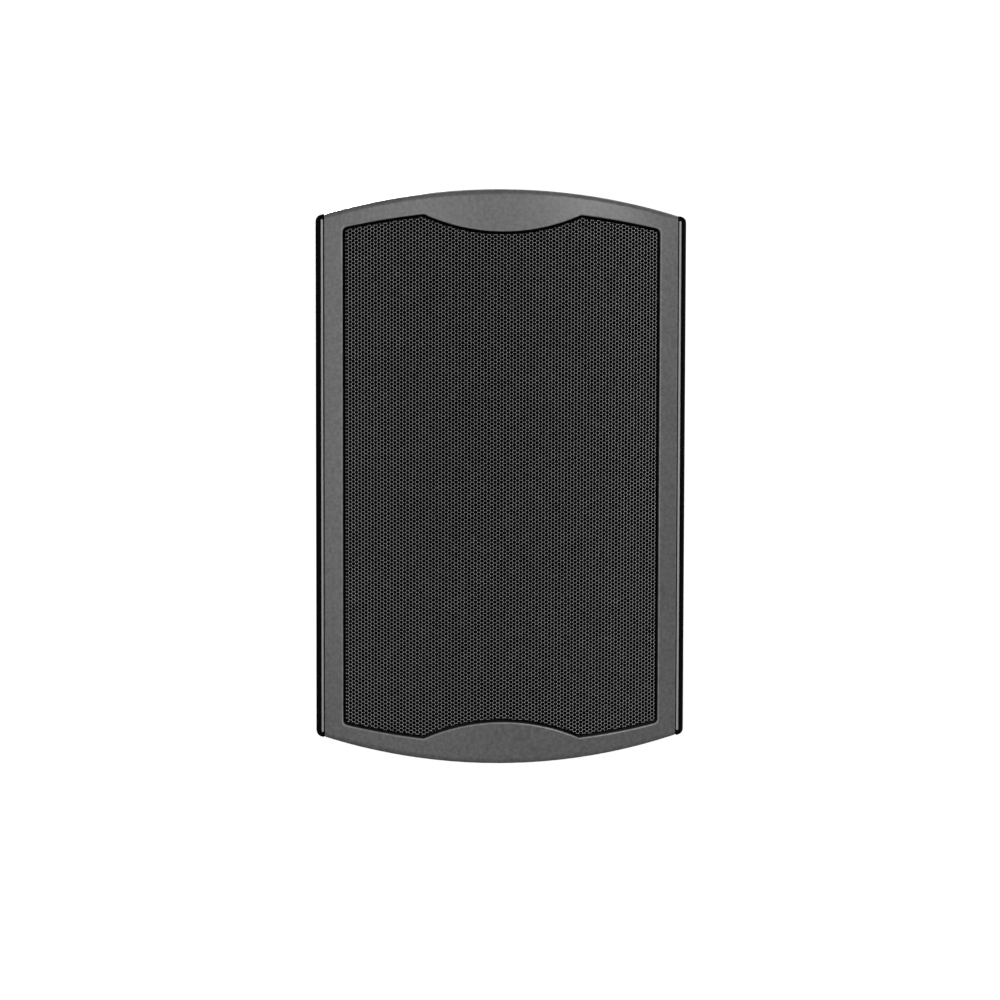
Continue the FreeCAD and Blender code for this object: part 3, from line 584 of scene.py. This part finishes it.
def buildGrille():
    # Points of the flat sheet, its faces by their number of sides, and the edges that border a hole
    flat, bars, junctions = makeGrillePolygons()
    depth = outsideBy(sheetRadius * np.sin(flat[:, 0] / sheetRadius), flat[:, 1])
    faces = {sides: [] for sides in range(3, 10)}
    walls, added = [], []
    for family, holeEdges in ((bars, (False, True) * 2), (junctions, (True, False) * 3)):
        sides = len(holeEdges)
        within = depth[family] <= 0
        whole = family[within.all(1)]
        faces[sides].append(whole)
        walls += [whole[:, [k, (k + 1) % sides]] for k in range(sides) if holeEdges[k]]
        for polygon in family[within.any(1) & ~within.all(1)]:
            kept, flags = clipPolygon(flat[polygon], depth[polygon], holeEdges)
            if len(kept) < 3:
                continue
            numbers = len(flat) + len(added) + np.arange(len(kept))
            added.extend(kept)
            faces[len(kept)].append(numbers[None, :])
            walls.append(np.stack([numbers, np.roll(numbers, -1)], -1)[flags])
    points = np.vstack([flat, np.array(added)])
    return points, {n: np.vstack(group) for n, group in faces.items() if group}, np.vstack(walls)


def meshFromFaces(name, places, faceGroups):
    mesh = bpy.data.meshes.new(name)
    used = np.unique(np.concatenate([group.reshape(-1) for group in faceGroups]))
    renumber = np.zeros(len(places), np.int64)
    renumber[used] = np.arange(len(used))
    loops = np.concatenate([renumber[group].reshape(-1) for group in faceGroups])
    sizes = np.concatenate([np.full(len(group), group.shape[1]) for group in faceGroups])
    starts = np.concatenate([[0], np.cumsum(sizes)[:-1]])
    mesh.vertices.add(len(used))
    mesh.vertices.foreach_set("co", places[used].astype(np.float32).reshape(-1))
    mesh.loops.add(len(loops))
    mesh.loops.foreach_set("vertex_index", loops.astype(np.int32))
    mesh.polygons.add(len(sizes))
    mesh.polygons.foreach_set("loop_start", starts.astype(np.int32))
    mesh.update(calc_edges=True)
    mesh.validate()
    return addObject(name, mesh)


def grilleBand(name, flat, faces, walls, low, high):
    # One band of the sheet: its face and the walls of its holes
    front = onBow(flat[:, 0], flat[:, 1], 0.0)
    back = onBow(flat[:, 0], flat[:, 1], grilleSettings["sheet"])

    def chosen(group):
        middle = flat[group][:, :, 1].mean(1)
        return group[(middle >= low) & (middle < high)]

    groups = [chosen(group) for group in faces.values()]
    part = chosen(walls)
    groups.append(np.hstack([part[:, ::-1], part + len(flat)]))
    return meshFromFaces(name, np.vstack([front, back]), [group for group in groups if len(group)])


sheet = buildGrille()
bandEdge = grilleSettings["bandEdge"]
grilleUpper = grilleBand("grilleUpper", *sheet, bandEdge, math.inf)
grilleMiddle = grilleBand("grilleMiddle", *sheet, -bandEdge, bandEdge)
grilleLower = grilleBand("grilleLower", *sheet, -math.inf, -bandEdge)

rimSettings = {
    "wall": 0.0004,
    "setback": 0.0016,  # behind the sheet's face
    "floorDepth": -0.164,
    "points": 1440,  # round the outline
    "farthest": 0.25,  # from the middle, past all of the outline
    "halvings": 48,  # of each ray in the search for the outline
    # near black: a painted shade, so that the rim reads as the shaded gap round the sheet
    "color": (0.012, 0.012, 0.012),
    "roughness": 0.6,
    "specular": 0.1,
    "bump": 0.05,
}


def outlineLoop(inset):
    # Points round the grille's outline, found along rays from the middle
    s = rimSettings
    turns = np.linspace(0, math.tau, s["points"], endpoint=False)
    low, high = np.zeros_like(turns), np.full_like(turns, s["farthest"])
    for _ in range(s["halvings"]):
        middle = (low + high) / 2
        out = outsideBy(middle * np.cos(turns), middle * np.sin(turns)) > -inset
        high = np.where(out, middle, high)
        low = np.where(out, low, middle)
    return low * np.cos(turns), low * np.sin(turns)


def buildRim():
    # The folded rim: a thin wall from behind the sheet's face to the floor of the opening
    s = rimSettings
    radius = sheetRadius - s["setback"]
    loops = []
    for inset in (0.0, s["wall"]):
        x, z = outlineLoop(inset)
        frontY = bowAxis - np.sqrt(radius**2 - x**2)
        loops.append(np.stack([x, frontY, z], -1))
        loops.append(np.stack([x, np.full_like(x, s["floorDepth"]), z], -1))
    here = np.arange(s["points"])
    after = np.roll(here, -1)
    groups = []
    for a, b in ((0, 1), (1, 3), (3, 2), (2, 0)):
        upper, lower = a * s["points"], b * s["points"]
        groups.append(np.stack([upper + here, lower + here, lower + after, upper + after], -1))
    return meshFromFaces("grilleRim", np.vstack(loops), groups)


grilleRim = buildRim()
grilleBands = (grilleUpper, grilleMiddle, grilleLower)
grilleMaterial = makeMaterial("grillePaint", grilleSettings)
rimMaterial = makeMaterial("rimShade", rimSettings)
for piece in (*grilleBands, grilleRim):
    piece.data.materials.append(rimMaterial if piece is grilleRim else grilleMaterial)
    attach(piece, "cabinet")
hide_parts("grille")
print("stage: grille,", sum(len(piece.data.polygons) for piece in grilleBands), "faces")

scrimCloth = {
    "color": (0.0004, 0.0004, 0.0004),
    "roughness": 0.9,
    "specular": 0.0,
    "weave": 0.0006,
    "bump": 0.3,
}
dress(makeMaterial("scrimCloth", scrimCloth), "grille_scrim")

# Pieces behind the front

blackScrew = {
    "color": (0.05, 0.05, 0.053),
    "metallic": 0.7,
    "roughness": 0.45,
    "grainScale": 900.0,
    "bump": 0.1,
}
dress(
    makeMaterial("blackScrew", blackScrew),
    "baffle_screws",
    "woofer_screws",
    "tweeter_screws",
)

zincScrew = {"color": (0.6, 0.6, 0.58), "metallic": 1.0, "roughness": 0.35, "bump": 0.08}
dress(makeMaterial("zincScrew", zincScrew), "crossover_screws")

foamGasket = {"color": (0.03, 0.03, 0.03), "roughness": 0.9, "grain": 0.6, "bump": 0.5}
dress(makeMaterial("foamGasket", foamGasket), "baffle_gasket", "terminal_gasket")

wooferAxis = -0.053  # height of the woofer's axis
tweeterAxis = 0.0855

basketBlack = {"color": (0.03, 0.03, 0.03), "roughness": 0.4, "grainScale": 700.0, "bump": 0.1}
dress(makeMaterial("basketBlack", basketBlack), "woofer_basket")

rubberTrim = {"color": (0.025, 0.025, 0.025), "roughness": 0.7, "grain": 0.3, "bump": 0.15}
dress(makeMaterial("rubberTrim", rubberTrim), "woofer_trim_ring", "woofer_surround")

conePolymer = {
    "color": (0.09, 0.09, 0.095),
    "roughness": 0.5,
    "rings": (wooferAxis, 0.0016),
    "bump": 0.12,
}
dress(makeMaterial("conePolymer", conePolymer), "woofer_cone")

capSatin = {"color": (0.03, 0.03, 0.03), "roughness": 0.35, "bump": 0.04}
dress(makeMaterial("capSatin", capSatin), "woofer_dust_cap")

coilFormer = {"color": (0.7, 0.69, 0.66), "metallic": 1.0, "roughness": 0.3, "bump": 0.05}
dress(makeMaterial("coilFormer", coilFormer), "woofer_voice_coil", "tweeter_voice_coil")

spiderCloth = {"color": (0.6, 0.42, 0.2), "roughness": 0.8, "weave": 0.0008, "bump": 0.4}
dress(makeMaterial("spiderCloth", spiderCloth), "woofer_spider")

wooferPlate = {
    "color": (0.62, 0.62, 0.6),
    "metallic": 1.0,
    "roughness": 0.32,
    "rings": (wooferAxis, 0.0006),
    "bump": 0.1,
}
dress(makeMaterial("wooferPlate", wooferPlate), "woofer_top_plate", "woofer_yoke")

tweeterPlate = dict(wooferPlate, rings=(tweeterAxis, 0.0006))
dress(makeMaterial("tweeterPlate", tweeterPlate), "tweeter_top_plate", "tweeter_yoke")

ferrite = {"color": (0.07, 0.07, 0.075), "roughness": 0.6, "grain": 0.4, "bump": 0.15}
dress(makeMaterial("ferrite", ferrite), "woofer_magnet", "tweeter_magnet")

waveguideBlack = {"color": (0.03, 0.03, 0.032), "roughness": 0.55, "grain": 0.3, "bump": 0.2}
dress(makeMaterial("waveguideBlack", waveguideBlack), "tweeter_waveguide")

domeCloth = {"color": (0.035, 0.033, 0.03), "roughness": 0.6, "weave": 0.0004, "bump": 0.2}
dress(makeMaterial("domeCloth", domeCloth), "tweeter_dome", "tweeter_suspension")

tagMetal = {"color": (0.72, 0.6, 0.32), "metallic": 1.0, "roughness": 0.32, "bump": 0.06}
dress(makeMaterial("tagMetal", tagMetal), "woofer_terminals", "terminal_contacts")

boardGreen = {"color": (0.05, 0.18, 0.08), "roughness": 0.35, "mottle": 0.3, "bump": 0.05}
dress(makeMaterial("boardGreen", boardGreen), "crossover_board")

coilWire = {
    "color": (0.65, 0.3, 0.15),
    "metallic": 1.0,
    "roughness": 0.3,
    "grainScale": 800.0,
    "bump": 0.3,
}
dress(makeMaterial("coilWire", coilWire), "crossover_inductor")

capacitorFilm = {"color": (0.55, 0.45, 0.12), "roughness": 0.2, "bump": 0.03}
dress(makeMaterial("capacitorFilm", capacitorFilm), "crossover_capacitors")

resistorCement = {"color": (0.7, 0.68, 0.64), "roughness": 0.85, "grain": 0.2, "bump": 0.3}
dress(makeMaterial("resistorCement", resistorCement), "crossover_resistor")

wadding = {"color": (0.7, 0.7, 0.68), "roughness": 0.95, "grainScale": 500.0, "bump": 0.8}
dress(makeMaterial("wadding", wadding), "damping_pad")
print("stage: inner pieces")

# Rear: inserts and terminals

insertBrass = {"color": (0.78, 0.6, 0.29), "metallic": 1.0, "roughness": 0.32, "bump": 0.1}
dress(makeMaterial("insertBrass", insertBrass), "wall_inserts")

cupBlack = {
    "color": (0.02, 0.02, 0.021),
    "roughness": 0.45,
    "grainScale": 1800.0,
    "grain": 0.3,
    "bump": 0.15,
}
dress(makeMaterial("cupBlack", cupBlack), "terminal_cup")

terminalScrew = {
    "color": (0.14, 0.14, 0.145),
    "metallic": 0.8,
    "roughness": 0.3,
    "bump": 0.08,
    "halfX": 0.0248,  # of the four screws from the cup's middle
    "halfZ": 0.0188,
    "centreZ": -0.062,
    "faceY": -0.0001,
    "headRadius": 0.0024,
    "headHeight": 0.0014,
    "shaftRadius": 0.0012,
    "length": 0.006,
    "arm": 0.0015,  # half length of the crossed recess
    "slot": 0.00034,  # half width of it
    "recess": 0.0009,
    "arcPoints": 9,  # to a quarter of the head
}
# Painted shade for the crossed recesses of the terminal screws
screwRecessShade = {"color": (0.008, 0.008, 0.008), "roughness": 0.8, "specular": 0.1, "bump": 0.05}


def screwLoops():
    # Outlines of the recess, the head and the shaft, each run anticlockwise in x and z
    s = terminalScrew
    a, w = s["arm"], s["slot"]
    start = math.asin(w / s["headRadius"])
    cross, circle = [], []
    for quarter, (c, d) in enumerate(((1, 0), (0, 1), (-1, 0), (0, -1))):
        cross += [(c * x - d * z, d * x + c * z) for x, z in ((a, -w), (a, w), (w, w))]
        turns = np.linspace(start, math.pi / 2 - start, s["arcPoints"]) + quarter * math.pi / 2
        circle += [(math.cos(turn), math.sin(turn)) for turn in turns]
    head, shaft = (
        [(radius * x, radius * z) for x, z in circle] for radius in (s["headRadius"], s["shaftRadius"])
    )
    return cross, head, shaft


def addScrew(corners, faces, dark, x, z):
    # One screw, quarter by quarter: three corners of the recess and an arc of the head to each
    s = terminalScrew
    cross, head, shaft = screwLoops()
    n = s["arcPoints"]

    def put(loop, y):
        first = len(corners)
        corners.extend((x + u, y, z + v) for u, v in loop)
        return list(range(first, first + len(loop)))

    def wall(upper, lower, inward=False):
        for k in range(len(upper)):
            m = (k + 1) % len(upper)
            quad = [upper[k], upper[m], lower[m], lower[k]]
            faces.append(quad[::-1] if inward else quad)

    under = s["faceY"] - s["headHeight"]
    mouth, floor = put(cross, s["faceY"]), put(cross, s["faceY"] - s["recess"])
    rim, skirt = put(head, s["faceY"]), put(head, under)
    neck, tip = put(shaft, under), put(shaft, under - s["length"])
    for k in range(4):
        nextTip = mouth[(3 * k + 3) % len(mouth)]
        arc = rim[k * n : (k + 1) * n]
        faces.append([mouth[3 * k + 2], mouth[3 * k + 1], *arc, nextTip][::-1])
        faces.append([mouth[3 * k], rim[k * n - 1], rim[k * n], mouth[3 * k + 1]][::-1])
    outer = len(faces)  # the faces of the recess come next, and get a painted shade
    faces.append(floor[::-1])
    wall(mouth, floor, inward=True)
    dark.extend(range(outer, len(faces)))
    wall(rim, skirt)
    faces.append(skirt)
    wall(neck, tip)
    faces.append(tip)


def buildTerminalScrews():
    s = terminalScrew
    corners, faces, dark = [], [], []
    for sideX in (-1, 1):
        for sideZ in (-1, 1):
            addScrew(corners, faces, dark, sideX * s["halfX"], s["centreZ"] + sideZ * s["halfZ"])
    mesh = bpy.data.meshes.new("terminalScrews")
    mesh.from_pydata(corners, [], faces)
    mesh.materials.append(makeMaterial("terminalScrew", s))
    mesh.materials.append(makeMaterial("screwRecessShade", screwRecessShade))
    for k in dark:
        mesh.polygons[k].material_index = 1
    return addObject("terminalScrews", mesh)


terminalScrews = buildTerminalScrews()
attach(terminalScrews, "cabinet")
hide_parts("terminal_screws")

pinSteel = {"color": (0.62, 0.62, 0.6), "metallic": 1.0, "roughness": 0.3, "bump": 0.05}
dress(makeMaterial("pinSteel", pinSteel), "terminal_pin")

leverRed = {"color": (0.5, 0.02, 0.02), "roughness": 0.25, "bump": 0.03}
dress(makeMaterial("leverRed", leverRed), "terminal_lever_red")

leverBlack = {"color": (0.02, 0.02, 0.02), "roughness": 0.25, "bump": 0.03}
dress(makeMaterial("leverBlack", leverBlack), "terminal_lever_black")
print("stage: rear pieces")

# Floor, backdrop, world and lights

stageSettings = {
    "floorHeight": -0.42,
    "floorHalf": 6.0,
    "floorColor": (0.80, 0.80, 0.79),
    "glow": 0.94,
    "floorGloss": 0.15,  # share of the floor's glow that reflections see
    "bounce": 0.15,  # share of the floor's colour that indirect light sees
    "backdropDepth": 2.2,
    "backdropHalf": 1.2,
    "backdropColor": (0.8, 0.8, 0.8),
    "finish": {"roughness": 0.8, "grain": 0.02, "mottle": 0.02},
    "worldDim": 0.03,
    "worldGloss": 0.3,  # share of the white surroundings that reflections see
    "aim": (0.0, -0.12, 0.0),  # of all lights
    "lights": [
        {"name": "leftBox", "place": (-0.578, -1.743, 0.136), "size": (0.907, 0.886), "power": 5.3},
        {"name": "rightBox", "place": (0.646, -1.734, 0.559), "size": (0.422, 0.201), "power": 10.8},
        {"name": "broadFill", "place": (0.0, -2.4, 0.4), "size": (1.6, 0.6), "power": 3.9},
        {
            "name": "rearBox",
            "place": (-0.45, 1.7, 1.05),
            "size": (0.6, 0.4),
            "power": 3.5,
            "spread": 30.0,
        },
        {
            "name": "sideBox",
            "place": (1.7, 0.9, 0.6),
            "size": (0.5, 0.5),
            "power": 1.4,
            "spread": 30.0,
        },
    ],
}


def shownRays(tree, glossShare):
    # One for rays from the camera and those that pass through, and a share for reflections
    path = tree.nodes.new("ShaderNodeLightPath")
    gloss = mathNode(tree, "MULTIPLY", path.outputs["Is Glossy Ray"], glossShare)
    shown = mathNode(tree, "MAXIMUM", path.outputs["Is Camera Ray"], gloss)
    return mathNode(tree, "MAXIMUM", shown, path.outputs["Is Transmission Ray"])


def stagePlane(name, corners, material):
    mesh = bpy.data.meshes.new(name)
    mesh.from_pydata(corners, [], [(0, 1, 2, 3)])
    mesh.materials.append(material)
    made = addObject(name, mesh)


def stageMaterial(name, color, glow, glossShare):
    # Pale surface that glows for shown rays, keeps its shadows and is clear from behind
    s = stageSettings
    material = makeMaterial(name, {"color": color, **s["finish"]})
    tree = material.node_tree
    surface = tree.nodes["Principled BSDF"]
    surface.inputs["Emission Color"].default_value = (1, 1, 1, 1)
    direct = tree.nodes.new("ShaderNodeLightPath").outputs["Is Camera Ray"]
    tintSurface(tree, mathNode(tree, "MULTIPLY_ADD", direct, 1.0 - s["bounce"], s["bounce"]))
    shown = shownRays(tree, glossShare)
    join(tree, mathNode(tree, "MULTIPLY", shown, glow), surface.inputs["Emission Strength"])
    behind = tree.nodes.new("ShaderNodeNewGeometry").outputs["Backfacing"]
    join(tree, mathNode(tree, "SUBTRACT", 1.0, behind), surface.inputs["Alpha"])
    return material


floorZ, wide = stageSettings["floorHeight"], stageSettings["floorHalf"]
stagePlane(
    "floor",
    [(-wide, -wide, floorZ), (wide, -wide, floorZ), (wide, wide, floorZ), (-wide, wide, floorZ)],
    stageMaterial(
        "floorPale", stageSettings["floorColor"], stageSettings["glow"], stageSettings["floorGloss"]
    ),
)
backY, backHalf = stageSettings["backdropDepth"], stageSettings["backdropHalf"]
stagePlane(
    "backdrop",
    [
        (-backHalf, backY, floorZ),
        (backHalf, backY, floorZ),
        (backHalf, backY, backHalf),
        (-backHalf, backY, backHalf),
    ],
    stageMaterial("backdropWhite", stageSettings["backdropColor"], 1.0, 1.0),
)

world = bpy.data.worlds.new("studio")
scene.world = world
world.use_nodes = True
worldTree = world.node_tree
background = worldTree.nodes["Background"]
background.inputs["Color"].default_value = (1, 1, 1, 1)
dim = stageSettings["worldDim"]
shown = shownRays(worldTree, stageSettings["worldGloss"])
strength = mathNode(worldTree, "MULTIPLY_ADD", shown, 1.0 - dim, dim)
join(worldTree, strength, background.inputs["Strength"])

for entry in stageSettings["lights"]:
    lightData = bpy.data.lights.new(entry["name"], "AREA")
    lightData.shape = "RECTANGLE"
    lightData.size, lightData.size_y = entry["size"]
    lightData.energy = entry["power"]
    lightData.spread = math.radians(entry.get("spread", 180.0))
    lamp = addObject(entry["name"], lightData)
    lamp.location = entry["place"]
    aim = np.array(stageSettings["aim"]) - np.array(entry["place"])
    lamp.rotation_euler = Vector(aim).to_track_quat("-Z", "Y").to_euler()
    lamp.visible_camera = False
print("stage: lights")
